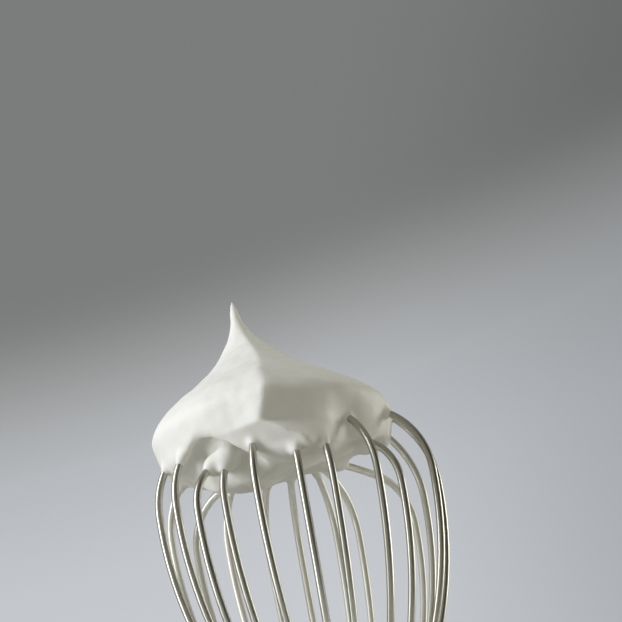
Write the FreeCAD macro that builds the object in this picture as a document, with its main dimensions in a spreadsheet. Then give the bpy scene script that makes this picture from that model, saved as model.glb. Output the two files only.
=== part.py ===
"""Balloon whisk with a dollop of stiff whipped cream on its tip, modelled in millimetres.

The whisk stands upright: its axis is +Z, the butt end of the handle is at z = 0 and the
balloon is at the top. Ten spring-steel loops cross at the tip, each one a wire diameter
below the next. Their 20 legs run down into the handle's mouth, where a locator disc, a
spreader plug and potting resin hold them inside a steel tube. A wire hanging loop swings
in the end cap.
"""

import FreeCAD, Part

import math
import os

import Sketcher
from FreeCAD import Placement, Rotation, Vector

# Every driving size: name, value in mm (or a share, or a plain count), what it is.
SIZES = (
    ("wire_radius", 1.0, "balloon wire"),
    ("loop_count", 10, "wire loops in the balloon"),
    ("leg_ring_radius", 8.8, "ring on which the legs enter the handle"),
    ("leg_bottom", 90.0, "lower ends of the legs"),
    ("throat_height", 137.0, "where the legs bend outwards"),
    ("belly_height", 217.0, "widest place of the topmost loop"),
    ("belly_radius", 36.0, "widest half width of the balloon"),
    ("belly_reach", 29.2, "length below the belly over which a leg straightens"),
    ("throat_reach", 14.0, "length each side of the throat bend"),
    ("dome_height", 30.5, "top of the topmost loop above its belly"),
    ("shoulder_share", 0.82, "shoulder radius as a share of the dome height"),
    ("tip_step", 2.15, "each loop's tip below the next one up"),
    ("belly_follow", 0.3, "share of that step by which the belly drops too"),
    ("tube_length", 118.0, "handle tube, standing on the end cap's flange"),
    ("tube_radius", 11.8, "outside of the handle tube"),
    ("tube_wall", 0.8, "wall of the handle tube"),
    ("tube_rounding", 0.3, "rounding of the tube's outer rims"),
    ("rim_radius", 11.6, "flange of the end cap and lip of the mouth ferrule"),
    ("ferrule_bore", 10.2, "bore of the mouth ferrule"),
    ("ferrule_depth", 9.0, "spigot of the mouth ferrule inside the tube"),
    ("ferrule_lip", 2.5, "rolled lip of the mouth ferrule above the tube"),
    ("ferrule_rounding", 0.9, "rounding of that lip"),
    ("resin_depth", 6.0, "potting resin round the legs"),
    ("resin_recess", 0.5, "resin below the top of the ferrule"),
    ("plug_radius", 7.4, "spreader plug inside the ring of legs"),
    ("plug_bottom", 96.0, "foot of the spreader plug"),
    ("plug_crown", 2.5, "crown of the plug above the ferrule"),
    ("plug_rounding", 2.2, "rounding of that crown"),
    ("disc_thickness", 1.5, "locator disc under the plug"),
    ("disc_radius", 10.8, "locator disc, just inside the tube"),
    ("disc_hole_radius", 1.05, "leg hole of the disc"),
    ("rivet_radius", 1.5, "rivet that holds the disc to the plug"),
    ("rivet_head_radius", 3.0, "head of that rivet"),
    ("rivet_head_height", 1.2, "head of that rivet"),
    ("rivet_rounding", 0.8, "rounding of that head"),
    ("rivet_depth", 8.0, "rivet inside the plug"),
    ("cap_flange", 2.0, "end cap's flange, below the tube"),
    ("cap_rounding", 1.2, "rounding of that flange"),
    ("cap_spigot", 12.0, "end cap's spigot inside the tube"),
    ("cap_floor", 2.0, "floor of the hollow in the spigot"),
    ("cap_hollow_radius", 7.0, "hollow in the spigot"),
    ("groove_bottom", 6.9, "lower side of the seal's groove"),
    ("groove_top", 9.1, "upper side of the seal's groove"),
    ("groove_depth", 1.7, "depth of the seal's groove"),
    ("seal_section", 0.82, "section radius of the seal ring"),
    ("seal_gap", 0.05, "seal ring to tube"),
    ("tongue_half_width", 5.0, "half width of the cap's tongue"),
    ("tongue_thickness", 5.2, "thickness of the cap's tongue"),
    ("tongue_root", 1.0, "tongue inside the flange"),
    ("pivot_drop", 5.5, "pivot of the hanging loop below the butt end"),
    ("pivot_hole_radius", 1.32, "hole of that pivot"),
    ("hanger_wire_radius", 1.25, "wire of the hanging loop"),
    ("hanger_end_gap", 0.6, "end of the hanging loop's wire to the axis"),
    ("hanger_neck", 4.9, "half width of the hanging loop at its pivot"),
    ("hanger_pivot_reach", 1.8, "length each side of the bend beside the pivot"),
    ("hanger_half_width", 9.0, "half width of the hanging loop, between wire centres"),
    ("hanger_shoulder", 10.5, "pivot down to the loop's full width"),
    ("hanger_shoulder_reach", 3.5, "length each side of the bend there"),
    ("hanger_length", 27.0, "pivot down to the loop's lowest wire centre"),
    ("hanger_foot_flat", 0.3, "straight wire each side of the axis at the foot"),
    ("cream_radius", 35.5, "cream round the dome"),
    ("cream_base", 226.5, "lower edge of the cream"),
    ("cream_height", 51.5, "cream from its lower edge to its peak"),
    ("cream_lean", 9.6, "how far the peak leans towards -X"),
    ("recess_radius", 22.0, "hollow under the cream, at its mouth"),
    ("recess_top_radius", 15.4, "hollow under the cream, at its roof"),
    ("recess_height", 6.0, "depth of that hollow"),
    ("recess_overcut", 1.0, "the hollow's cutter below the cream"),
)

# One row per wire loop, as it hangs in a used whisk: rank from the top where the loops
# cross, extra half width, and how far each leg is pushed sideways at the belly.
LOOPS = (
    (0, 2.0, -1.0, -5.5),
    (1, 1.0, -0.5, -5.5),
    (9, 2.5, -3.0, -4.5),
    (6, -2.5, 2.5, 2.0),
    (4, -0.5, -1.0, 2.5),
    (7, -1.0, -1.0, 2.0),
    (5, -2.0, -2.5, 4.5),
    (3, -2.5, 0.0, 1.5),
    (8, -2.5, 3.0, 4.0),
    (2, 2.0, -2.5, 5.5),
)

doc = FreeCAD.newDocument("balloon_whisk")
sheet = doc.addObject("Spreadsheet::Sheet", "Sizes")
for row, (name, value, note) in enumerate(SIZES, start=1):
    sheet.set(f"A{row}", name)
    sheet.set(f"B{row}", str(value))
    sheet.set(f"C{row}", note)
    sheet.setAlias(f"B{row}", name)
doc.recompute()


def size(text):
    """The value of an expression of sheet names, such as 'tube_radius - tube_wall'."""
    names = {name: float(sheet.get(name)) for name, _, _ in SIZES}
    total = 0.0
    sign = 1.0
    for word in text.split():
        if word in "+-":
            sign = 1.0 if word == "+" else -1.0
        else:
            total += sign * (names[word] if word in names else float(word))
    return total


def bound(text):
    """The same expression as FreeCAD reads it, each name with its sheet."""
    known = {name for name, _, _ in SIZES}
    return " ".join(f"Sizes.{word}" if word in known else word for word in text.split())


def new_body(label):
    body = doc.addObject("PartDesign::Body", label)
    body.Label = label
    return body


def new_sketch(body, name, role, offset=""):
    """A sketch on one of the body's own origin planes, lifted by a bound offset."""
    sketch = body.newObject("Sketcher::SketchObject", name)
    plane = next(p for p in body.Origin.OriginFeatures if p.Role == role)
    sketch.AttachmentSupport = [(plane, "")]
    sketch.MapMode = "FlatFace"
    if offset:
        sketch.setExpression("AttachmentOffset.Base.z", bound(offset))
    return sketch


def hold(sketch, kind, element, point, text):
    """Pins one coordinate of a sketch point to an expression of the sheet."""
    value = size(text)
    if abs(value) < 1e-9:
        axis = -2 if kind == "DistanceX" else -1
        sketch.addConstraint(Sketcher.Constraint("PointOnObject", element, point, axis))
        return
    ends = (-1, 1, element, point) if value > 0 else (element, point, -1, 1)
    index = sketch.addConstraint(Sketcher.Constraint(kind, *ends, abs(value)))
    words = bound(text)
    sketch.setExpression(f"Constraints[{index}]", words if value > 0 else f"-({words})")


def draw_polygon(sketch, corners):
    """A closed outline whose corners are pairs of sheet expressions."""
    points = [Vector(size(across), size(up), 0) for across, up in corners]
    count = len(points)
    for i, point in enumerate(points):
        sketch.addGeometry(Part.LineSegment(point, points[(i + 1) % count]), False)
    for i in range(count):
        sketch.addConstraint(Sketcher.Constraint("Coincident", i, 2, (i + 1) % count, 1))
    for i, (across, up) in enumerate(corners):
        hold(sketch, "DistanceX", i, 1, across)
        hold(sketch, "DistanceY", i, 1, up)


def draw_circle(sketch, across, up, radius):
    """A circle whose centre and radius are sheet expressions."""
    centre = Vector(size(across), size(up), 0)
    index = sketch.addGeometry(Part.Circle(centre, Vector(0, 0, 1), size(radius)), False)
    hold(sketch, "DistanceX", index, 3, across)
    hold(sketch, "DistanceY", index, 3, up)
    dim = sketch.addConstraint(Sketcher.Constraint("Radius", index, size(radius)))
    sketch.setExpression(f"Constraints[{dim}]", bound(radius))


def turned_body(label, corners):
    """A body turned about the whisk's axis from a profile of (radius, height) corners."""
    body = new_body(label)
    sketch = new_sketch(body, f"{label}_profile", "XZ_Plane")
    draw_polygon(sketch, corners)
    turn = body.newObject("PartDesign::Revolution", f"{label}_turn")
    turn.Profile = sketch
    turn.ReferenceAxis = (sketch, ["V_Axis"])
    turn.Angle = 360.0
    sketch.Visibility = False
    doc.recompute()
    return body


def round_edges(body, name, radius, wanted):
    """Fillets the edges of the body's tip for which wanted(edge) is true."""
    base = body.Tip
    names = [f"Edge{i}" for i, edge in enumerate(base.Shape.Edges, start=1) if wanted(edge)]
    fillet = body.newObject("PartDesign::Fillet", name)
    fillet.Base = (base, names)
    fillet.setExpression("Radius", bound(radius))
    doc.recompute()
    return fillet


def is_ring(edge, radius, height):
    """True for a full circle about the whisk's axis of that radius and height."""
    curve = edge.Curve
    if not isinstance(curve, Part.Circle):
        return False
    on_axis = math.hypot(curve.Center.x, curve.Center.y) < 1e-6
    return on_axis and abs(curve.Radius - radius) < 1e-6 and abs(curve.Center.z - height) < 1e-6


def leg_holes(body, label, top, radius):
    """Through holes for all the legs, as one pocket and its polar pattern."""
    before = body.Shape.Volume
    sketch = new_sketch(body, f"{label}_hole", "XY_Plane", top)
    draw_circle(sketch, "leg_ring_radius", "0", radius)
    pocket = body.newObject("PartDesign::Pocket", f"{label}_pocket")
    pocket.Profile = sketch
    pocket.Type = "ThroughAll"
    doc.recompute()
    one_hole = before - body.Shape.Volume
    pattern = body.newObject("PartDesign::PolarPattern", f"{label}_pattern")
    pattern.Originals = [pocket]
    axis = next(p for p in body.Origin.OriginFeatures if p.Role == "Z_Axis")
    pattern.Axis = (axis, [""])
    pattern.Angle = 360.0
    pattern.setExpression("Occurrences", "Sizes.loop_count * 2")
    body.Tip = pattern
    doc.recompute()
    cut = before - body.Shape.Volume
    assert one_hole > 0 and abs(cut / one_hole - 2 * size("loop_count")) < 0.01, label
    return body


def bent_wire(corners, reaches):
    """Straight runs through the corners, joined by tangent arcs.

    reaches[i] is how far from corner i + 1 its bend starts, on both runs.
    """
    edges = []
    start = corners[0]
    for before, corner, after, reach in zip(corners, corners[1:], corners[2:], reaches):
        arriving = (corner - before).normalize()
        leaving = (after - corner).normalize()
        half_turn = arriving.getAngle(leaving) / 2
        radius = reach / math.tan(half_turn)
        inwards = (leaving - arriving).normalize()
        bend_start = corner - arriving * reach
        bend_end = corner + leaving * reach
        middle = corner + inwards * (radius / math.cos(half_turn) - radius)
        edges.append(Part.LineSegment(start, bend_start).toShape())
        edges.append(Part.Arc(bend_start, middle, bend_end).toShape())
        start = bend_end
    edges.append(Part.LineSegment(start, corners[-1]).toShape())
    return Part.Wire(edges)


def swept_wire(label, centre_line, radius, direction):
    """A round wire along a centre line, its section bound to a sheet radius."""
    path = doc.addObject("Part::Feature", f"{label}_path")
    path.Shape = centre_line
    section = doc.addObject("Part::Circle", f"{label}_section")
    section.setExpression("Radius", bound(radius))
    start = centre_line.OrderedVertexes[0].Point
    section.Placement = Placement(start, Rotation(Vector(0, 0, 1), direction))
    wire = doc.addObject("Part::Sweep", label)
    wire.Label = label
    wire.Sections = [section]
    wire.Spine = (path, [f"Edge{i + 1}" for i in range(len(centre_line.Edges))])
    wire.Solid = True
    wire.Frenet = False
    doc.recompute()
    expected = math.pi * size(radius) ** 2 * centre_line.Length
    assert abs(wire.Shape.Volume / expected - 1) < 0.005, label
    return wire


def balloon_loop(rank, extra_width, push_a, push_b):
    """Centre line of one loop in its own plane: leg a at +X, leg b at -X."""
    drop = rank * size("tip_step")
    belly_drop = drop * size("belly_follow")
    belly = size("belly_height") - belly_drop
    height = size("dome_height") - drop + belly_drop
    half_width = size("belly_radius") + extra_width
    shoulder = size("shoulder_share") * height
    # The crown arc is centred on the axis and runs tangent into the shoulder arc.
    crown = ((half_width - shoulder) ** 2 + height**2 - shoulder**2) / (2 * (height - shoulder))
    turn = math.atan2(crown - height, half_width - shoulder)
    shoulder_reach = shoulder * math.tan(turn / 2)
    crown_reach = crown / math.tan(turn)
    apex = belly + height - crown + crown / math.sin(turn)
    ring = size("leg_ring_radius")
    throat = size("throat_height")

    def leg(side, push):
        return [
            Vector(side * ring, 0, size("leg_bottom")),
            Vector(side * ring, 0, throat),
            Vector(side * half_width, push, belly - size("belly_reach")),
            Vector(side * half_width, push, belly + shoulder_reach),
        ]

    corners = leg(1, push_a) + [Vector(0, (push_a + push_b) / 2, apex)] + leg(-1, push_b)[::-1]
    near = 0.996  # leaves a hair of straight wire between neighbouring bends
    reaches = [size("throat_reach"), size("belly_reach"), shoulder_reach, crown_reach]
    reaches = [reach * near for reach in reaches + reaches[2::-1]]
    return bent_wire(corners, reaches)


def make_wire_loops():
    for number, row in enumerate(LOOPS):
        angle = 180.0 / size("loop_count") * number
        turned = Placement(Vector(), Rotation(Vector(0, 0, 1), angle))
        label = f"wire_loop_{number + 1:02d}"
        wire = swept_wire(label, balloon_loop(*row), "wire_radius", Vector(0, 0, 1))
        wire.Placement = turned
    doc.recompute()


def make_handle_tube():
    inner = "tube_radius - tube_wall"
    corners = [(inner, "0"), ("tube_radius", "0"), ("tube_radius", "tube_length"), (inner, "tube_length")]
    body = turned_body("handle_tube", corners)
    outer = size("tube_radius")
    ends = (0.0, size("tube_length"))

    def rim(edge):
        return any(is_ring(edge, outer, end) for end in ends)

    round_edges(body, "handle_tube_rims", "tube_rounding", rim)
    return body


def make_mouth_ferrule():
    spigot = "tube_radius - tube_wall"
    foot = "tube_length - ferrule_depth"
    top = "tube_length + ferrule_lip"
    corners = [
        ("ferrule_bore", foot),
        (spigot, foot),
        (spigot, "tube_length"),
        ("rim_radius", "tube_length"),
        ("rim_radius", top),
        ("ferrule_bore", top),
    ]
    body = turned_body("mouth_ferrule", corners)
    outer, height = size("rim_radius"), size(top)
    round_edges(body, "mouth_ferrule_lip", "ferrule_rounding", lambda e: is_ring(e, outer, height))
    return body


def make_potting_resin():
    top = "tube_length + ferrule_lip - resin_recess"
    foot = f"{top} - resin_depth"
    corners = [("plug_radius", foot), ("ferrule_bore", foot), ("ferrule_bore", top), ("plug_radius", top)]
    body = turned_body("potting_resin", corners)
    return leg_holes(body, "potting_resin", top, "wire_radius")


def make_spreader_plug():
    top = "tube_length + ferrule_lip + plug_crown"
    hole_end = "plug_bottom + rivet_depth"
    corners = [
        ("rivet_radius", "plug_bottom"),
        ("plug_radius", "plug_bottom"),
        ("plug_radius", top),
        ("0", top),
        ("0", hole_end),
        ("rivet_radius", hole_end),
    ]
    body = turned_body("spreader_plug", corners)
    radius, height = size("plug_radius"), size(top)
    round_edges(body, "spreader_plug_crown", "plug_rounding", lambda e: is_ring(e, radius, height))
    return body


def make_locator_disc():
    foot = "plug_bottom - disc_thickness"
    corners = [
        ("rivet_radius", foot),
        ("disc_radius", foot),
        ("disc_radius", "plug_bottom"),
        ("rivet_radius", "plug_bottom"),
    ]
    body = turned_body("locator_disc", corners)
    return leg_holes(body, "locator_disc", "plug_bottom", "disc_hole_radius")


def make_disc_rivet():
    seat = "plug_bottom - disc_thickness"
    foot = f"{seat} - rivet_head_height"
    end = "plug_bottom + rivet_depth"
    corners = [
        ("0", foot),
        ("rivet_head_radius", foot),
        ("rivet_head_radius", seat),
        ("rivet_radius", seat),
        ("rivet_radius", end),
        ("0", end),
    ]
    body = turned_body("disc_rivet", corners)
    radius, height = size("rivet_head_radius"), size(foot)
    round_edges(body, "disc_rivet_head", "rivet_rounding", lambda e: is_ring(e, radius, height))
    return body


def make_end_cap():
    spigot = "tube_radius - tube_wall"
    groove = f"{spigot} - groove_depth"
    foot = "0 - cap_flange"
    corners = [
        ("0", foot),
        ("rim_radius", foot),
        ("rim_radius", "0"),
        (spigot, "0"),
        (spigot, "groove_bottom"),
        (groove, "groove_bottom"),
        (groove, "groove_top"),
        (spigot, "groove_top"),
        (spigot, "cap_spigot"),
        ("cap_hollow_radius", "cap_spigot"),
        ("cap_hollow_radius", "cap_floor"),
        ("0", "cap_floor"),
    ]
    body = turned_body("end_cap", corners)
    radius, height = size("rim_radius"), size(foot)
    round_edges(body, "end_cap_rim", "cap_rounding", lambda e: is_ring(e, radius, height))
    # The tongue hangs from the flange, half round about the pivot.
    root = "0 - cap_flange + tongue_root"
    sketch = new_sketch(body, "end_cap_tongue_outline", "YZ_Plane")
    half, pivot, top = (size(text) for text in ("tongue_half_width", "0 - pivot_drop", root))
    left, right = Vector(-half, pivot, 0), Vector(half, pivot, 0)
    round_end = Part.Circle(Vector(0, pivot, 0), Vector(0, 0, 1), half)
    sketch.addGeometry(Part.ArcOfCircle(round_end, math.pi, 2 * math.pi), False)
    sketch.addGeometry(Part.LineSegment(right, Vector(half, top, 0)), False)
    sketch.addGeometry(Part.LineSegment(Vector(half, top, 0), Vector(-half, top, 0)), False)
    sketch.addGeometry(Part.LineSegment(Vector(-half, top, 0), left), False)
    for a, b in ((0, 1), (1, 2), (2, 3)):
        sketch.addConstraint(Sketcher.Constraint("Coincident", a, 2, b, 1))
    sketch.addConstraint(Sketcher.Constraint("Coincident", 3, 2, 0, 1))
    sketch.addConstraint(Sketcher.Constraint("Vertical", 1))
    sketch.addConstraint(Sketcher.Constraint("Vertical", 3))
    sketch.addConstraint(Sketcher.Constraint("Horizontal", 2))
    hold(sketch, "DistanceX", 0, 3, "0")
    hold(sketch, "DistanceY", 0, 3, "0 - pivot_drop")
    hold(sketch, "DistanceX", 1, 1, "tongue_half_width")
    hold(sketch, "DistanceY", 1, 1, "0 - pivot_drop")
    hold(sketch, "DistanceY", 3, 2, "0 - pivot_drop")
    hold(sketch, "DistanceY", 2, 1, root)
    tongue = body.newObject("PartDesign::Pad", "end_cap_tongue")
    tongue.Profile = sketch
    tongue.setExpression("Length", bound("tongue_thickness"))
    tongue.Midplane = True
    doc.recompute()
    before = body.Shape.Volume
    eye = new_sketch(body, "end_cap_pivot_outline", "YZ_Plane")
    draw_circle(eye, "0", "0 - pivot_drop", "pivot_hole_radius")
    hole = body.newObject("PartDesign::Pocket", "end_cap_pivot_hole")
    hole.Profile = eye
    hole.Type = "ThroughAll"
    hole.Midplane = True
    doc.recompute()
    removed = math.pi * size("pivot_hole_radius") ** 2 * size("tongue_thickness")
    assert abs((before - body.Shape.Volume) / removed - 1) < 0.01
    return body


def make_cap_seal():
    ring = doc.addObject("Part::Torus", "cap_seal")
    ring.Label = "cap_seal"
    ring.setExpression("Radius1", bound("tube_radius - tube_wall - seal_gap - seal_section"))
    ring.setExpression("Radius2", bound("seal_section"))
    middle = (size("groove_bottom") + size("groove_top")) / 2
    ring.Placement = Placement(Vector(0, 0, middle), Rotation())
    return ring


def make_hanging_loop():
    pivot = -size("pivot_drop")
    neck = size("hanger_neck")
    half = size("hanger_half_width")
    shoulder = pivot - size("hanger_shoulder")
    foot = pivot - size("hanger_length")
    side = [(size("hanger_end_gap"), pivot), (neck, pivot), (half, shoulder), (half, foot)]
    corners = [Vector(x, 0, z) for x, z in side] + [Vector(-x, 0, z) for x, z in side[::-1]]
    foot_reach = half - size("hanger_foot_flat")
    reaches = [size("hanger_pivot_reach"), size("hanger_shoulder_reach"), foot_reach]
    wire = bent_wire(corners, reaches + reaches[::-1])
    return swept_wire("hanging_loop", wire, "hanger_wire_radius", Vector(1, 0, 0))


# Cream rings from the lower edge up: share of the radius, of the height and of the lean.
CREAM_RINGS = (
    (0.82, 0.00, 0.40),
    (0.98, 0.10, 0.40),
    (1.02, 0.24, 0.42),
    (0.84, 0.36, 0.52),
    (0.56, 0.48, 0.62),
    (0.34, 0.59, 0.72),
    (0.17, 0.71, 0.80),
    (0.075, 0.83, 0.90),
    (0.03, 1.00, 1.00),
)


def make_whipped_cream():
    rings = []
    for number, (radius, height, lean) in enumerate(CREAM_RINGS):
        ring = doc.addObject("Part::Circle", f"cream_ring_{number}")
        ring.setExpression("Radius", f"Sizes.cream_radius * {radius}")
        ring.setExpression("Placement.Base.x", f"-Sizes.cream_lean * {lean}")
        ring.setExpression("Placement.Base.z", f"Sizes.cream_base + Sizes.cream_height * {height}")
        rings.append(ring)
    peak = doc.addObject("Part::Loft", "cream_peak")
    peak.Sections = rings
    peak.Solid = True
    recess = doc.addObject("Part::Cone", "cream_recess")
    recess.setExpression("Radius1", "Sizes.recess_radius")
    recess.setExpression("Radius2", "Sizes.recess_top_radius")
    recess.setExpression("Height", "Sizes.recess_height + Sizes.recess_overcut")
    recess.setExpression("Placement.Base.z", "Sizes.cream_base - Sizes.recess_overcut")
    cream = doc.addObject("Part::Cut", "whipped_cream")
    cream.Label = "whipped_cream"
    cream.Base = peak
    cream.Tool = recess
    return cream


make_wire_loops()
make_handle_tube()
make_mouth_ferrule()
make_potting_resin()
make_spreader_plug()
make_locator_disc()
make_disc_rivet()
make_end_cap()
make_cap_seal()
make_hanging_loop()
make_whipped_cream()
doc.recompute()

NODES = [f"wire_loop_{number + 1:02d}" for number in range(len(LOOPS))] + [
    "handle_tube",
    "mouth_ferrule",
    "potting_resin",
    "spreader_plug",
    "locator_disc",
    "disc_rivet",
    "end_cap",
    "cap_seal",
    "hanging_loop",
    "whipped_cream",
]

for item in doc.Objects:
    bad = {"Invalid", "Error"} & set(item.State)
    assert not bad, f"{item.Name}: {item.State}"
os.makedirs("parts", exist_ok=True)
for node in NODES:
    part = doc.getObjectsByLabel(node)[0]
    assert not part.Shape.isNull() and part.Shape.isValid(), node
    assert len(part.Shape.Solids) == 1, node
    part.Shape.exportStep(f"parts/{node}.step")
    print(f"{node}: {part.Shape.Volume / 1000:.2f} cubic cm")
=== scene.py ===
"""A balloon whisk with a peak of whipped cream: surfaces, cream, stage and light.

Lengths are in metres, except in the cream's own field, which is worked out in millimetres
about the middle of the balloon's widest ring.
"""

import math

import bpy
import numpy as np
from mathutils import Matrix, Vector


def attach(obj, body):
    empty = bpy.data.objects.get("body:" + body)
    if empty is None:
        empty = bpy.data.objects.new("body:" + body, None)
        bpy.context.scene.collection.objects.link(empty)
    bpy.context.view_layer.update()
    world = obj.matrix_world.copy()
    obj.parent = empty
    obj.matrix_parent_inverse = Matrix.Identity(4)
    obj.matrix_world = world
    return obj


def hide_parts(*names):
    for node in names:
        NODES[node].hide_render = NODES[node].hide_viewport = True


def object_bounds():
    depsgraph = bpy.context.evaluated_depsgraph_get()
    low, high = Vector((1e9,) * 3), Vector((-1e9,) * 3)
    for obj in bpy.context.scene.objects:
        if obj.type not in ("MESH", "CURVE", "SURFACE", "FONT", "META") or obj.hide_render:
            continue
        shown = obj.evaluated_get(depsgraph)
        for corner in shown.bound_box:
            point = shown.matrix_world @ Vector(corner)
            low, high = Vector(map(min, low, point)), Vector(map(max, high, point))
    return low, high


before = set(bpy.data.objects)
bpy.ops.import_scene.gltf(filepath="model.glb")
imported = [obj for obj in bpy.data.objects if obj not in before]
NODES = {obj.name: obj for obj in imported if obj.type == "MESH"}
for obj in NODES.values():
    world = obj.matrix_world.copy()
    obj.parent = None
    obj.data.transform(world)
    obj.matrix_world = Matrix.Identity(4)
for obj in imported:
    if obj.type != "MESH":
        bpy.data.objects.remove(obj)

MM = 0.001
WHISK = "whisk"
WIRE_RADIUS = 1.0  # mm
LOOPS = sorted(name for name in NODES if name.startswith("wire_loop_"))

cad_low, cad_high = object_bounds()

# The middle of the balloon: the ring where the loops are widest.
BELLY = Vector((0.0, 0.0, 0.217))
# The camera's azimuth: the cream's own frame is turned by it, so that it looks along +Y there.
TURN = Matrix.Rotation(math.radians(-7.0), 3, "Z")


# ---------------------------------------------------------------- camera

SENSOR = 36.0
LENS = 104.86
CAMERA_LOOKS_UP = math.radians(22.02)
CAMERA_ROLL = math.radians(10.68)
CAMERA_OFFSET = Vector((-2.96, -51.42, 488.93)) * MM  # the belly, seen from the camera

up = Vector((0, -math.sin(CAMERA_LOOKS_UP), math.cos(CAMERA_LOOKS_UP)))
forward = Vector((0, math.cos(CAMERA_LOOKS_UP), math.sin(CAMERA_LOOKS_UP)))
side = Vector((1, 0, 0))
camera_right = TURN @ (math.cos(CAMERA_ROLL) * side - math.sin(CAMERA_ROLL) * up)
camera_up = TURN @ (math.sin(CAMERA_ROLL) * side + math.cos(CAMERA_ROLL) * up)
camera_forward = TURN @ forward
across, rise, away = CAMERA_OFFSET
camera_place = BELLY - across * camera_right - rise * camera_up - away * camera_forward

camera_data = bpy.data.cameras.new("camera")
camera_data.sensor_width = SENSOR
camera_data.lens = LENS
camera_data.clip_start = 0.01
camera_data.clip_end = 50.0
camera = bpy.data.objects.new("camera", camera_data)
axes = Matrix((camera_right, camera_up, -camera_forward)).transposed()
camera.matrix_world = Matrix.Translation(camera_place) @ axes.to_4x4()
bpy.context.scene.collection.objects.link(camera)
bpy.context.scene.camera = camera


# ---------------------------------------------------------------- node helpers


class Graph:
    """Short names for the nodes of one material or world."""

    def __init__(self, tree):
        self.tree = tree

    def node(self, kind, **settings):
        made = self.tree.nodes.new(kind)
        for name, value in settings.items():
            setattr(made, name, value)
        return made

    def put(self, socket, value):
        if isinstance(value, bpy.types.NodeSocket):
            self.tree.links.new(value, socket)
        else:
            socket.default_value = value

    def math(self, operation, a, b=0.0, c=0.0, clamp=False):
        made = self.node("ShaderNodeMath", operation=operation, use_clamp=clamp)
        for socket, value in zip(made.inputs, (a, b, c)):
            self.put(socket, value)
        return made.outputs[0]

    def dot(self, a, b):
        made = self.node("ShaderNodeVectorMath", operation="DOT_PRODUCT")
        self.put(made.inputs[0], a)
        self.put(made.inputs[1], b)
        return made.outputs["Value"]

    def stretched(self, scale):
        """Object coordinates, each axis at its own scale."""
        place = self.node("ShaderNodeTexCoord").outputs["Object"]
        made = self.node("ShaderNodeMapping")
        self.put(made.inputs["Vector"], place)
        made.inputs["Scale"].default_value = scale
        return made.outputs["Vector"]

    def noise(self, vector, scale, detail=3.0, roughness=0.55):
        made = self.node("ShaderNodeTexNoise")
        self.put(made.inputs["Vector"], vector)
        for name, value in (("Scale", scale), ("Detail", detail), ("Roughness", roughness)):
            made.inputs[name].default_value = value
        return made.outputs["Fac"]

    def ramp(self, value, stops, ease="LINEAR"):
        made = self.node("ShaderNodeValToRGB")
        made.color_ramp.interpolation = ease
        cells = made.color_ramp.elements
        while len(cells) < len(stops):
            cells.new(1.0)
        for cell, (place, colour) in zip(cells, stops):
            cell.position = place
            cell.color = (*colour, 1.0) if len(colour) == 3 else colour
        self.put(made.inputs["Fac"], value)
        return made.outputs["Color"]

    def between(self, value, low, high):
        """Maps a 0 to 1 value to low to high."""
        made = self.node("ShaderNodeMapRange")
        self.put(made.inputs["Value"], value)
        made.inputs["To Min"].default_value = low
        made.inputs["To Max"].default_value = high
        return made.outputs["Result"]

    def bump(self, height, strength, distance, normal=None):
        made = self.node("ShaderNodeBump")
        made.inputs["Strength"].default_value = strength
        made.inputs["Distance"].default_value = distance
        self.put(made.inputs["Height"], height)
        if normal is not None:
            self.put(made.inputs["Normal"], normal)
        return made.outputs["Normal"]


def colour_sockets(sockets):
    return [socket for socket in sockets if socket.type == "RGBA"]


def new_material(name):
    """A material with one Principled shader: (material, graph, shader)."""
    material = bpy.data.materials.new(name)
    material.use_nodes = True
    graph = Graph(material.node_tree)
    return material, graph, material.node_tree.nodes["Principled BSDF"]


GRAIN_DEPTH = 0.00003
PORE_DEPTH = 0.00008


def steel(name, dark, light, roughness, grain_scale, grain_bump, anisotropic=0.0):
    """Bare steel: a fine directional grain, slow colour drift and faint handling marks."""
    material, g, shader = new_material(name)
    grain = g.noise(g.stretched(grain_scale), 1.0, 4.0, 0.6)
    drift = g.noise(g.stretched((60, 60, 25)), 1.0, 3.0)
    marks = g.noise(g.stretched((900, 900, 900)), 1.0, 6.0, 0.7)
    tone = g.math("MULTIPLY_ADD", grain, 0.45, g.math("MULTIPLY", drift, 0.55))
    g.put(shader.inputs["Base Color"], g.ramp(tone, ((0.3, dark), (0.7, light))))
    wear = g.math("MULTIPLY_ADD", marks, 0.4, g.math("MULTIPLY", grain, 0.6))
    g.put(shader.inputs["Roughness"], g.between(wear, *roughness))
    g.put(shader.inputs["Normal"], g.bump(grain, grain_bump, GRAIN_DEPTH))
    shader.inputs["Metallic"].default_value = 1.0
    shader.inputs["Anisotropic"].default_value = anisotropic
    return material


def moulded(name, dark, light, roughness, pore_scale, pore_bump):
    """Resin, nylon or rubber: cloudy colour, fine pores and uneven gloss."""
    material, g, shader = new_material(name)
    cloud = g.noise(g.stretched((180, 180, 180)), 1.0, 4.0)
    pores = g.noise(g.stretched((pore_scale,) * 3), 1.0, 5.0, 0.65)
    g.put(shader.inputs["Base Color"], g.ramp(cloud, ((0.3, dark), (0.7, light))))
    g.put(shader.inputs["Roughness"], g.between(pores, *roughness))
    g.put(shader.inputs["Normal"], g.bump(pores, pore_bump, PORE_DEPTH))
    return material


# ---------------------------------------------------------------- materials of the CAD nodes

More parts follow.
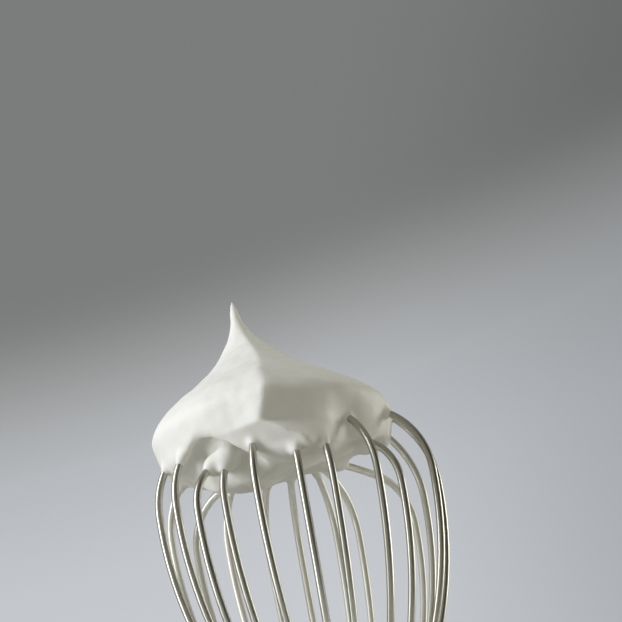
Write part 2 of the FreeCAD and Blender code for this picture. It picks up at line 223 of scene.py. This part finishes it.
wire_steel = steel(
    "drawn_wire", (0.42, 0.41, 0.36), (0.57, 0.56, 0.49), (0.24, 0.38), (1500, 1500, 90), 0.25
)
hanger_steel = steel(
    "hanger_wire", (0.54, 0.54, 0.52), (0.68, 0.68, 0.66), (0.12, 0.25), (1200, 1200, 1200), 0.25
)
tube_steel = steel(
    "brushed_tube", (0.52, 0.52, 0.51), (0.68, 0.68, 0.67), (0.24, 0.40), (160, 160, 9000), 0.5, 0.5
)
ferrule_steel = steel(
    "polished_ferrule", (0.62, 0.62, 0.61), (0.74, 0.74, 0.73), (0.06, 0.16), (500, 500, 2500), 0.15
)
cap_steel = steel(
    "turned_cap", (0.56, 0.56, 0.55), (0.70, 0.70, 0.69), (0.16, 0.30), (250, 250, 6000), 0.4
)
stamped_steel = steel(
    "stamped_steel", (0.44, 0.44, 0.43), (0.60, 0.60, 0.59), (0.28, 0.45), (900, 900, 900), 0.3
)
potting = moulded(
    "potting_resin", (0.035, 0.035, 0.038), (0.06, 0.06, 0.064), (0.18, 0.38), 1400, 0.3
)
nylon = moulded("turned_nylon", (0.05, 0.05, 0.053), (0.085, 0.085, 0.088), (0.32, 0.5), 2200, 0.35)
rubber = moulded("seal_rubber", (0.012, 0.012, 0.012), (0.03, 0.03, 0.03), (0.5, 0.75), 2600, 0.4)

# The far, upper wires are painted paler and less metallic. Part of this is a film of cream. Part is
# painted light that stands in for their weaker dark reflections.
FILM_AND_PAINTED_LIGHT_FADE = 0.016  # metres over which the pale film, which is partly painted light, comes in, upwards and towards the back
FILM_AND_PAINTED_LIGHT_STARTS = 8.0  # how many of those above the handle's butt end
FILM_AND_PAINTED_LIGHT_AT_AXIS = 0.1
FILM_AND_PAINTED_LIGHT_COLOUR = (0.82, 0.81, 0.74)


def add_cream_film_and_painted_light(material):
    """The far, upper side of the balloon's wires is painted paler and duller. Part of this is a
    thin, uneven film of cream, which dulls the wire. Part is painted light: a paler, less metallic
    far side that stands in for the weaker dark reflections on the far wires.
    """
    g = Graph(material.node_tree)
    shader = material.node_tree.nodes["Principled BSDF"]
    place = g.node("ShaderNodeTexCoord").outputs["Object"]
    streaks = g.noise(g.stretched((400, 400, 60)), 1.0, 3.0)
    back, height = g.dot(place, (0.0, 1.0, 0.0)), g.dot(place, (0.0, 0.0, 1.0))
    far = g.math("MULTIPLY_ADD", back, 1 / FILM_AND_PAINTED_LIGHT_FADE, FILM_AND_PAINTED_LIGHT_AT_AXIS, clamp=True)
    high = g.math("MULTIPLY_ADD", height, 1 / FILM_AND_PAINTED_LIGHT_FADE, -FILM_AND_PAINTED_LIGHT_STARTS, clamp=True)
    film_and_painted_light = g.math("MULTIPLY", g.math("MULTIPLY", far, high), g.between(streaks, 0.5, 1.0))
    bare = shader.inputs["Base Color"].links[0].from_socket
    mix = g.node("ShaderNodeMix", data_type="RGBA")
    g.put(mix.inputs["Factor"], film_and_painted_light)
    first, second = colour_sockets(mix.inputs)
    g.put(first, bare)
    second.default_value = (*FILM_AND_PAINTED_LIGHT_COLOUR, 1.0)
    g.put(shader.inputs["Base Color"], colour_sockets(mix.outputs)[0])
    g.put(shader.inputs["Metallic"], g.math("SUBTRACT", 1.0, film_and_painted_light))


# Painted light on the drawn wire: its far, upper side is painted paler, and part of that is a film
# of cream.
add_cream_film_and_painted_light(wire_steel)

LOOK_OF_NODE = {
    "handle_tube": tube_steel,
    "mouth_ferrule": ferrule_steel,
    "end_cap": cap_steel,
    "hanging_loop": hanger_steel,
    "locator_disc": stamped_steel,
    "disc_rivet": stamped_steel,
    "potting_resin": potting,
    "spreader_plug": nylon,
    "cap_seal": rubber,
}
LOOK_OF_NODE.update({name: wire_steel for name in LOOPS})
for name, look in LOOK_OF_NODE.items():
    for material_slot in NODES[name].material_slots:
        material_slot.material = look


# ---------------------------------------------------------------- cream: the field

# The field is negative inside the cream. Its x runs to the right and its y away from the camera.
PITCH = 0.5
FIELD_LOW = np.array((-44.0, -38.0, -5.0))
FIELD_HIGH = np.array((36.0, 37.0, 64.0))

# The cream's outline by height: middle (x, y), then reach to the left, right, front and back.
OUTLINE = (
    (-4, -4.9, 0.0, 30.0, 30.0, 28.5, 28.0),
    (4, -4.7, -0.2, 31.3, 31.3, 31.0, 29.5),
    (10, -3.9, -0.4, 32.6, 32.6, 31.8, 30.6),
    (16, -3.7, -0.6, 34.0, 34.0, 32.6, 31.7),
    (22, -4.0, -0.9, 35.7, 35.7, 32.6, 33.0),
    (28, -5.7, -1.1, 29.1, 29.1, 27.4, 27.1),
    (34, -5.8, -1.4, 19.9, 19.9, 19.2, 18.5),
    (40, -6.8, -1.6, 12.3, 12.3, 12.2, 11.5),
    (45, -7.6, -1.8, 7.3, 7.3, 7.4, 7.0),
    (48, -8.0, -1.9, 4.6, 4.6, 4.8, 4.5),
    (51, -8.3, -2.0, 2.6, 2.6, 2.7, 2.6),
    (54, -8.8, -2.1, 1.6, 1.6, 1.7, 1.6),
    (57.5, -8.9, -2.2, 1.05, 1.05, 1.05, 1.05),
    (60, -9.0, -2.3, 0.7, 0.7, 0.7, 0.7),
    (62, -9.1, -2.3, -1.0, -1.0, -1.0, -1.0),
)
OUTLINE_BLUR = 1.7  # of height, when the outline is smoothed
OUTLINE_STEP = 0.25  # of height, in the smoothed outline
OUTLINE_MARGIN = 10  # how far the smoothed outline goes on past the field
BLUR_STEPS = 24  # to each side
# A ridge runs from the peak down the front, where the cream was pulled off the bowl.
RIDGE_HEIGHT = 6.0
RIDGE_FOOT = 0.35  # share of the ridge's height that is taken off all round
RIDGE_CREST = 0.02  # radians; rounds the crest
# By height: how far the ridge lies to the right of the front and how wide it is, in radians, and
# its strength.
RIDGE_PATH = ((2, 0.36), (7, 0.24), (12.5, -0.05), (24, 0.04), (40, 0.15), (50, 0.2))
RIDGE_WIDTH = ((5, 0.27), (12, 0.30), (20, 0.42))
RIDGE_STRENGTH = ((0, 1.0), (8, 1.08), (14, 1.04), (30, 1.0), (44, 0.45), (52, 0.0))
# A dent and a swelling of the lower half: azimuth and width in radians, height of its top, and
# how far it stands out.
SWELLINGS = ((-0.82, 0.20, 21.0, -3.0), (-1.15, 0.24, 17.0, 1.4))
SWELLING_FADE = 8.0  # height over which a swelling comes in, below its top
# Uneven swelling: (height, length of a wave, seed), of the outer surface and of the lower side.
OUTER_WAVES = ((0.5, 17, 3), (0.18, 6, 5))
UNDER_WAVES = ((0.5, 11, 8), (0.3, 5, 9))
WAVES_ADDED = 5
WAVE_SPREAD = (0.7, 1.5)  # shortest and longest of them, as shares of the length
# Height of the cream's lower side from left to right: along its front edge, along the band
# behind the front edge, in its middle and at its back.
LIP_X = (-34, -30, -27, -23, -19, -14, -9.5, -7, 1.5, 3.5, 7, 11, 17, 23, 29, 34)
LIP_FRONT = (12, 10.3, 11.6, 13.6, 12.2, 9.0, 5.6, 4.6, 2.8, 4.4, 3.8, 4.6, 7.0, 9.0, 10.5, 11)
LIP_BAND = (11, 8.0, 5.6, 3.8, 2.6, 1.8, 1.8, 2.6, 4.8, 5.8, 7.2, 8.8, 10.5, 11.5, 11, 11)
LIP_MIDDLE = (13, 11.5, 10.0, 9.0, 8.0, 7.0, 6.5, 7.0, 8.2, 8.4, 8.6, 9.8, 11.2, 12.0, 11, 11)
LIP_BACK = (17, 17, 17, 16.7, 16, 15, 14.2, 14.4, 15, 15.4, 16.4, 17.8, 17.5, 14.5, 12, 11.5)
# The front edge turns into the band this far inside the outer surface, and at the latest here
# along y.
EDGE_TO_BAND_INSIDE = (4.5, 9.0)
EDGE_TO_BAND_Y = (-16, -4)
# Where the band turns into the middle along y, and the middle into the back.
BAND_TO_MIDDLE_Y = (-12.0, 0.0)
MIDDLE_TO_BACK_Y = (2.0, 26.0)
LIP_BLEND = 2.8
# A groove between the front edge and the band. It comes in from the left over GROOVE_STARTS_X, and
# fades out as the distance to the left of the axis, or in front of it, shrinks.
GROOVE_INSIDE = 4.6
GROOVE_WIDTH = 2.6
GROOVE_DEPTH = 5.0
GROOVE_STARTS_X = (-31, -17)
GROOVE_FADES_LEFT = (5, 10)
GROOVE_FADES_FRONT = (10, 18)

grid = [np.arange(lo, hi, PITCH, dtype=np.float32) for lo, hi in zip(FIELD_LOW, FIELD_HIGH)]
X, Y, Z = np.meshgrid(*grid, indexing="ij", sparse=True)


def smooth_union(a, b, blend):
    """The lesser of the two, rounded where they meet."""
    h = np.clip(0.5 + 0.5 * (b - a) / blend, 0, 1)
    return b + (a - b) * h - blend * h * (1 - h)


def by_height(table):
    """Rows of (height, value) as a function of every grid height."""
    heights, values = zip(*table)
    return np.interp(Z, heights, values)


def step(value, start, end):
    """0 before start, 1 after end, eased between."""
    share = np.clip((value - start) / (end - start), 0, 1)
    return share**2 * (3 - 2 * share)


def at_height(column):
    """A column of OUTLINE as a smooth function of every grid height."""
    heights = [row[0] for row in OUTLINE]
    low, high = FIELD_LOW[2] - OUTLINE_MARGIN, FIELD_HIGH[2] + OUTLINE_MARGIN
    fine = np.arange(low, high, OUTLINE_STEP)
    values = np.interp(fine, heights, [row[column] for row in OUTLINE])
    away = np.arange(-BLUR_STEPS, BLUR_STEPS + 1) * OUTLINE_STEP
    kernel = np.exp(-0.5 * (away / OUTLINE_BLUR) ** 2)
    smooth = np.convolve(values, kernel / kernel.sum(), mode="same")
    return np.interp(Z.ravel(), fine, smooth).reshape(Z.shape).astype(np.float32)


def waves(scale, seed):
    """Slow, uneven swelling between -1 and 1 with about that many millimetres to a wave."""
    rng = np.random.default_rng(seed)
    total = 0.0
    for _ in range(WAVES_ADDED):
        way = rng.normal(size=3)
        way = way / np.linalg.norm(way) * 2 * math.pi / (scale * rng.uniform(*WAVE_SPREAD))
        phase = rng.uniform(0, 2 * math.pi)
        total = total + np.sin(way[0] * X + way[1] * Y + way[2] * Z + phase)
    return (total / WAVES_ADDED).astype(np.float32)


ROD_MARGIN = 2  # round a rod, beyond its blend


def window(low, high):
    """Slices of the grid that hold a box, so that small shapes touch only their surroundings."""
    ends = []
    for lo, hi, base, axis in zip(low, high, FIELD_LOW, grid):
        first = max(int((lo - base) / PITCH), 0)
        last = min(int((hi - base) / PITCH) + 2, len(axis))
        ends.append(slice(first, last))
    return tuple(ends)


def add_rod(field, start, end, start_radius, end_radius, blend):
    """Melts a tapered rod into the field, within its own window."""
    reach = max(start_radius, end_radius) + blend + ROD_MARGIN
    low = np.minimum(start, end) - reach
    high = np.maximum(start, end) + reach
    part = window(low, high)
    if any(s.stop <= s.start for s in part):
        return
    x, y, z = X[part[0], :, :], Y[:, part[1], :], Z[:, :, part[2]]
    a = np.array(start, np.float32)
    d = np.array(end, np.float32) - a
    t = np.clip(((x - a[0]) * d[0] + (y - a[1]) * d[1] + (z - a[2]) * d[2]) / float(d @ d), 0, 1)
    away = (x - a[0] - t * d[0]) ** 2 + (y - a[1] - t * d[1]) ** 2 + (z - a[2] - t * d[2]) ** 2
    rod = np.sqrt(away) - (start_radius + (end_radius - start_radius) * t)
    field[part] = smooth_union(field[part], rod, blend)


def cream_field():
    """The body of the cream, before it clings to the wires."""
    left, right, front, back = (at_height(column) for column in (3, 4, 5, 6))
    dx, dy = X - at_height(1), Y - at_height(2)
    around = np.arctan2(dy, dx)
    radius = np.sqrt(dx**2 + dy**2)
    sideways = np.cos(around) ** 2
    reach = np.where(dx > 0, right, left) * sideways
    reach = reach + np.where(dy > 0, back, front) * (1 - sideways)
    ridge_at = -math.pi / 2 + by_height(RIDGE_PATH)
    turn = np.abs(around - ridge_at.astype(np.float32))
    ridge = np.exp(-np.sqrt(turn**2 + RIDGE_CREST**2) / by_height(RIDGE_WIDTH))
    strength = by_height(RIDGE_STRENGTH).astype(np.float32)
    reach = reach + RIDGE_HEIGHT * strength * (ridge - RIDGE_FOOT)
    for at, width, top, rise_by in SWELLINGS:
        swell = np.exp(-(((around - at) / width) ** 2)) * step(top - Z, 0, SWELLING_FADE)
        reach = reach + rise_by * swell
    slope = np.gradient(front[0, 0], PITCH)[None, None, :]
    outer = (radius - reach) / np.sqrt(1 + slope**2)
    for height, length, seed in OUTER_WAVES:
        outer = outer + height * waves(length, seed)
    rows = (LIP_FRONT, LIP_BAND, LIP_MIDDLE, LIP_BACK)
    edge, band, middle, rear = (np.interp(X, LIP_X, row).astype(np.float32) for row in rows)
    inside = -outer
    to_band = np.maximum(step(inside, *EDGE_TO_BAND_INSIDE), step(Y, *EDGE_TO_BAND_Y))
    under = edge + (band - edge) * to_band
    under = under + (middle - band) * step(Y, *BAND_TO_MIDDLE_Y)
    under = under + (rear - middle) * step(Y, *MIDDLE_TO_BACK_Y)
    groove = np.exp(-(((inside - GROOVE_INSIDE) / GROOVE_WIDTH) ** 2))
    groove = groove * step(-Y, *GROOVE_FADES_FRONT)
    groove = GROOVE_DEPTH * groove * step(X, *GROOVE_STARTS_X) * step(-X, *GROOVE_FADES_LEFT)
    under = under + groove - Z
    for height, length, seed in UNDER_WAVES:
        under = under + height * waves(length, seed)
    body = -smooth_union(-outer, -under, LIP_BLEND)
    return body.astype(np.float32)


LEG_STEP = 0.03  # radians between two points of a leg
LEG_START = 1.0  # how far from the axis a leg starts
LEG_BOTTOM = -25  # lowest height at which the legs are followed
LEG_CENTRE = 20  # how far below the belly the point lies that the legs' points are counted round


def wire_legs():
    """Centre line of each leg near the dome, in the cream's frame in mm, from the top down."""
    legs = []
    back_turn = np.array(TURN.transposed())
    for name in LOOPS:
        mesh = NODES[name].data
        count = len(mesh.vertices)
        places, normals = np.zeros(count * 3), np.zeros(count * 3)
        mesh.vertices.foreach_get("co", places)
        mesh.vertices.foreach_get("normal", normals)
        centres = places.reshape(-1, 3) / MM - normals.reshape(-1, 3) * WIRE_RADIUS
        centres = (centres - np.array(BELLY) / MM) @ back_turn.T
        dome = centres[centres[:, 2] > LEG_BOTTOM]
        widest = dome[np.argmax(np.hypot(dome[:, 0], dome[:, 1]))]
        way = widest[:2] / np.hypot(*widest[:2])
        for sign in (1, -1):
            along = sign * (dome[:, :2] @ way)
            leg = dome[along > LEG_START]
            turn = np.arctan2(leg[:, 2] + LEG_CENTRE, along[along > LEG_START])
            bins = np.round(turn / LEG_STEP).astype(int)
            line = [leg[bins == b].mean(0) for b in sorted(set(bins), reverse=True)]
            legs.append(np.array(line))
    return legs


WELL_INSIDE = 0.3  # depth at which a leg's point counts as in the body


def lowest_in_body(field, leg):
    """Index of the first point of the leg, from the top, that is out of the body."""
    cells = np.round((leg - FIELD_LOW) / PITCH).astype(int)
    cells = np.clip(cells, 0, np.array(field.shape) - 1)
    values = field[cells[:, 0], cells[:, 1], cells[:, 2]]
    deep = np.nonzero(values < -WELL_INSIDE)[0]
    return deep[-1] if len(deep) else 0


# Around the loops' crossing, up to this far from the axis, every wire lies in a coat of cream.
CROWN_REACH = 17.0
CROWN_COAT = 2.0
CROWN_BLEND = 2.5
# Between these azimuths the coat goes on down to this height.
LUMPS_FROM, LUMPS_TO = math.radians(-146), math.radians(-110)
LUMP_BOTTOM = 6.0
# Where a wire leaves the body, a short sleeve of cream tapers down along it.
SLEEVE_FRONT = (1.2, 1.4)  # least and greatest radius at its top
SLEEVE_BACK = (1.2, 1.5)
SLEEVE_TIP = 0.9  # less than the wire's radius, so that it ends in the wire
SLEEVE_BLEND = 1.6
SLEEVE_SEED = 11


def coat_wires(field):
    """Cream covers the loops' crossing and clings to each wire where it leaves the body."""
    rng = np.random.default_rng(SLEEVE_SEED)
    body = field.copy()
    for leg in wire_legs():
        crown = leg[np.hypot(leg[:, 0], leg[:, 1]) < CROWN_REACH]
        if LUMPS_FROM < math.atan2(leg[-1, 1], leg[-1, 0]) < LUMPS_TO:
            crown = leg[leg[:, 2] > LUMP_BOTTOM]
        for a, b in zip(crown[:-1], crown[1:]):
            add_rod(field, a, b, CROWN_COAT, CROWN_COAT, CROWN_BLEND)
        leaves = max(lowest_in_body(body, leg), len(crown) - 1)
        length = int(rng.integers(1, 3))
        thick = rng.uniform(*(SLEEVE_FRONT if leg[leaves, 1] < 0 else SLEEVE_BACK))
        stop = min(leaves + length, len(leg) - 1)
        run = leg[max(leaves - 2, 0) : stop + 1]
        spans = max(len(run) - 1, 1)
        for i, (a, b) in enumerate(zip(run[:-1], run[1:])):
            start_radius = thick + (SLEEVE_TIP - thick) * i / spans
            end_radius = thick + (SLEEVE_TIP - thick) * (i + 1) / spans
            add_rod(field, a, b, start_radius, end_radius, SLEEVE_BLEND)


JOIN_ROUNDS = 4
JUST_INSIDE = 0.02  # depth given to a corner that is filled in


def corner_of_square(u, v, du, dv):
    """Slices of one corner of every square of the grid in the plane of axes u and v."""
    shift = {u: du, v: dv}
    whole, ends = slice(None), (slice(0, -1), slice(1, None))
    return tuple(ends[shift[axis]] if axis in shift else whole for axis in range(3))


def close_touching_spots(field):
    """Joins the spots where two parts of the cream would touch along a single edge."""
    for _ in range(JOIN_ROUNDS):
        for u, v in ((0, 1), (0, 2), (1, 2)):
            corners = [corner_of_square(u, v, *d) for d in ((0, 0), (1, 0), (1, 1), (0, 1))]
            a, b, c, d = (field[corner] < 0 for corner in corners)
            crossed = (a == c) & (b == d) & (a != b)
            for corner in corners:
                part = field[corner]
                part[crossed & (part >= 0)] = -JUST_INSIDE


def surface_net(field):
    """Vertices and quads of the field's zero level."""
    shape = np.array(field.shape)
    inside = field < 0
    cell_ids, points, quads = [], [], []
    for axis in range(3):
        low = tuple(slice(0, -1) if a == axis else slice(None) for a in range(3))
        high = tuple(slice(1, None) if a == axis else slice(None) for a in range(3))
        crossing = inside[low] != inside[high]
        at = np.argwhere(crossing)
        first, second = field[low][crossing], field[high][crossing]
        point = at.astype(float)
        point[:, axis] += first / (first - second)
        u, v = (axis + 1) % 3, (axis + 2) % 3
        corners = []
        for du, dv in ((0, 0), (1, 0), (1, 1), (0, 1)):
            cell = at.copy()
            cell[:, u] -= du
            cell[:, v] -= dv
            cell = np.clip(cell.T, 0, shape[:, None] - 1)
            flat = np.ravel_multi_index(tuple(cell), field.shape)
            cell_ids.append(flat)
            points.append(point)
            corners.append(flat)
        corners = np.stack(corners, 1)
        flip = ~inside[low][crossing]
        corners[flip] = corners[flip][:, ::-1]
        quads.append(corners)
    cell_ids, points, quads = (np.concatenate(part) for part in (cell_ids, points, quads))
    names, index = np.unique(cell_ids, return_inverse=True)
    counts = np.bincount(index)
    verts = np.stack([np.bincount(index, points[:, a]) / counts for a in range(3)], 1)
    faces = np.searchsorted(names, quads)
    return verts * PITCH + FIELD_LOW, faces


def relaxed(verts, faces, rounds):
    """Evens out the steps that the grid leaves."""
    pairs = np.concatenate([faces[:, (a, (a + 1) % 4)] for a in range(4)])
    pairs = np.concatenate([pairs, pairs[:, ::-1]])
    counts = np.bincount(pairs[:, 0], minlength=len(verts))[:, None]
    for _ in range(rounds):
        mean = np.stack(
            [np.bincount(pairs[:, 0], verts[pairs[:, 1], a], len(verts)) for a in range(3)], 1
        )
        verts = verts * 0.5 + mean / counts * 0.5
    return verts


def largest_island(verts, faces):
    """Drops crumbs that the field left floating."""
    label = np.arange(len(verts))
    while True:
        low = label[faces].min(1)
        fresh = label.copy()
        np.minimum.at(fresh, faces.ravel(), np.repeat(low, 4))
        fresh = fresh[fresh]
        if (fresh == label).all():
            break
        label = fresh
    names, counts = np.unique(label, return_counts=True)
    keep = label == names[counts.argmax()]
    faces = faces[keep[faces[:, 0]]]
    used, index = np.unique(faces, return_inverse=True)
    return verts[used], index.reshape(faces.shape)


# ---------------------------------------------------------------- cream: the piece


def cream_material():
    material, g, shader = new_material("whipped_cream")
    cloud = g.noise(g.stretched((120, 120, 120)), 1.0, 4.0)
    g.put(
        shader.inputs["Base Color"],
        g.ramp(cloud, ((0.3, (0.87, 0.865, 0.82)), (0.7, (0.91, 0.905, 0.87)))),
    )
    foam = g.noise(g.stretched((1600, 1600, 1600)), 1.0, 5.0, 0.7)
    folds = g.noise(g.stretched((260, 260, 260)), 1.0, 3.0)
    g.put(shader.inputs["Roughness"], g.between(foam, 0.42, 0.62))
    soft = g.bump(folds, 0.25, 0.0006)
    g.put(shader.inputs["Normal"], g.bump(foam, 0.3, 0.00012, soft))
    shader.inputs["Subsurface Weight"].default_value = 0.35
    shader.inputs["Subsurface Radius"].default_value = (1.0, 0.9, 0.7)
    shader.inputs["Subsurface Scale"].default_value = 0.0015
    shader.inputs["Specular IOR Level"].default_value = 0.35
    return material


RELAX_ROUNDS = 2


def make_cream():
    field = cream_field()
    coat_wires(field)
    close_touching_spots(field)
    verts, faces = surface_net(field)
    verts, faces = largest_island(verts, faces)
    verts = relaxed(verts, faces, RELAX_ROUNDS)
    places = (verts * MM) @ np.array(TURN).T + np.array(BELLY)
    mesh = bpy.data.meshes.new("cream_peak")
    mesh.from_pydata(places.tolist(), [], faces.tolist())
    mesh.validate()
    mesh.shade_smooth()
    mesh.materials.append(cream_material())
    cream = bpy.data.objects.new("cream_peak", mesh)
    bpy.context.scene.collection.objects.link(cream)
    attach(cream, WHISK)
    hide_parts("whipped_cream")


make_cream()


# ---------------------------------------------------------------- stage and light


def floor_material():
    material, g, shader = new_material("pale_floor")
    cloud = g.noise(g.stretched((3, 3, 3)), 1.0, 3.0)
    g.put(
        shader.inputs["Base Color"],
        g.ramp(cloud, ((0.3, (0.68, 0.69, 0.70)), (0.7, (0.74, 0.75, 0.76)))),
    )
    grain = g.noise(g.stretched((90, 90, 90)), 1.0, 4.0)
    g.put(shader.inputs["Roughness"], g.between(grain, 0.6, 0.75))
    return material


FLOOR_BELOW = 0.03  # under the foot of the hanging loop, which hangs free
FLOOR_HALF = 4.0


def make_floor():
    height = cad_low.z - FLOOR_BELOW
    square = ((-1, -1), (1, -1), (1, 1), (-1, 1))
    corners = [(x * FLOOR_HALF, y * FLOOR_HALF, height) for x, y in square]
    mesh = bpy.data.meshes.new("floor")
    mesh.from_pydata(corners, [], [(0, 1, 2, 3)])
    mesh.materials.append(floor_material())
    floor = bpy.data.objects.new("floor", mesh)
    bpy.context.scene.collection.objects.link(floor)
    return floor


CARD_RADIUS = 1.2
CARD_FROM, CARD_TO = math.radians(-80), math.radians(-28)
CARD_LOW, CARD_HIGH = -0.25, 1.6
CARD_STEPS = 24


def make_dark_card():
    """A curved black card at the front right, seen only in reflections."""
    verts, faces = [], []
    for i in range(CARD_STEPS + 1):
        angle = CARD_FROM + (CARD_TO - CARD_FROM) * i / CARD_STEPS
        x, y = CARD_RADIUS * math.cos(angle), CARD_RADIUS * math.sin(angle)
        verts += [(x, y, CARD_LOW), (x, y, CARD_HIGH)]
    for i in range(CARD_STEPS):
        faces.append((2 * i, 2 * i + 1, 2 * i + 3, 2 * i + 2))
    mesh = bpy.data.meshes.new("dark_card")
    mesh.from_pydata(verts, [], faces)
    material, g, shader = new_material("dark_card")
    cloth = g.noise(g.stretched((40, 40, 40)), 1.0, 3.0)
    g.put(shader.inputs["Base Color"], g.ramp(cloth, ((0.3, (0.02,) * 3), (0.7, (0.03,) * 3))))
    shader.inputs["Roughness"].default_value = 0.9
    mesh.materials.append(material)
    card = bpy.data.objects.new("dark_card", mesh)
    card.visible_camera = False
    card.visible_diffuse = False
    card.visible_shadow = False
    card.visible_transmission = False
    bpy.context.scene.collection.objects.link(card)


def area_light(name, place, target, width, height, power, colour):
    data = bpy.data.lights.new(name, "AREA")
    data.shape = "RECTANGLE"
    data.size, data.size_y = width, height
    data.energy = power
    data.color = colour
    light = bpy.data.objects.new(name, data)
    way = Vector(target) - Vector(place)
    light.location = place
    light.rotation_mode = "QUATERNION"
    light.rotation_quaternion = way.to_track_quat("-Z", "Y")
    light.visible_camera = False
    bpy.context.scene.collection.objects.link(light)
    return light


FILL = (0.30, 0.292, 0.25)
# The backdrop glows low behind the balloon and darkens upwards, and a little to the right. Its
# colours go by how far down they lie, in shares of the glow's half height.
HALF_GLOW = 0.355
GLOW_TILT = 0.35  # of what lies to the right counts as down
GLOW_SHIFT = 0.2
GLOW_CURVE = 2.0  # how much farther down everything counts away from the middle
DIM_CURVE = 4.0  # how much farther left everything counts there
BACKDROP = (
    (0.09, (0.20, 0.205, 0.205)),
    (0.163, (0.29, 0.295, 0.29)),
    (0.234, (0.376, 0.385, 0.395)),
    (0.29, (0.44, 0.455, 0.47)),
    (0.337, (0.46, 0.48, 0.50)),
    (0.52, (0.57, 0.595, 0.625)),
    (0.8, (0.585, 0.61, 0.645)),
)
BACKDROP_DIM = ((0.0, (1.0,) * 3), (0.2, (0.9,) * 3), (0.45, (0.64,) * 3))  # towards the right


def make_world():
    """The camera sees a bluish grey backdrop; everything else is lit by an even warm fill."""
    world = bpy.data.worlds.new("studio")
    bpy.context.scene.world = world
    world.use_nodes = True
    g = Graph(world.node_tree)
    background = world.node_tree.nodes["Background"]
    way = g.node("ShaderNodeTexCoord").outputs["Generated"]
    beside = g.math("SUBTRACT", 1.0, g.dot(way, tuple(camera_forward)))
    falling = g.dot(way, tuple((camera_right * GLOW_TILT - camera_up) / HALF_GLOW))
    falling = g.math("MULTIPLY_ADD", beside, GLOW_CURVE, falling)
    backdrop = g.ramp(g.math("ADD", falling, GLOW_SHIFT, clamp=True), BACKDROP, "B_SPLINE")
    rightwards = g.dot(way, tuple(camera_right / HALF_GLOW))
    rightwards = g.math("MULTIPLY_ADD", beside, -DIM_CURVE, rightwards)
    dim = g.ramp(rightwards, BACKDROP_DIM, "B_SPLINE")
    shaded = g.node("ShaderNodeMix", data_type="RGBA", blend_type="MULTIPLY")
    shaded.inputs["Factor"].default_value = 1.0
    first, second = colour_sockets(shaded.inputs)
    g.put(first, backdrop)
    g.put(second, dim)
    seen = g.node("ShaderNodeLightPath").outputs["Is Camera Ray"]
    mix = g.node("ShaderNodeMix", data_type="RGBA")
    g.put(mix.inputs["Factor"], seen)
    first, second = colour_sockets(mix.inputs)
    first.default_value = (*FILL, 1.0)
    g.put(second, colour_sockets(shaded.outputs)[0])
    g.put(background.inputs["Color"], colour_sockets(mix.outputs)[0])


floor = make_floor()
make_dark_card()
make_world()
cream_middle = BELLY + Vector((0, 0, 0.02))
# A tall, narrow key on the left and a weak, warmer rim on the right, a little behind.
area_light(
    "key",
    BELLY + TURN @ Vector((-0.60, -0.28, 0.25)),
    cream_middle,
    width=0.28,
    height=0.90,
    power=4.95,
    colour=(0.955, 0.985, 1.04),
)
area_light(
    "rim",
    BELLY + TURN @ Vector((0.84, 0.32, 0.10)),
    cream_middle,
    width=0.4,
    height=0.4,
    power=2.7,
    colour=(1.0, 1.0, 0.94),
)
# A wide lamp overhead keeps the floor pale; it is linked to the floor alone, which passes
# none of it on, so that the light on the cream stays directional.
floor_only = bpy.data.collections.new("floor_only")
floor_only.objects.link(floor)
floor.visible_diffuse = False
floor_lamp = area_light(
    "floor_lamp", (0, 0, 3), (0, 0, 0), width=6, height=6, power=50, colour=(1.0, 1.0, 1.0)
)
floor_lamp.light_linking.receiver_collection = floor_only
bpy.context.scene.view_settings.view_transform = "Standard"
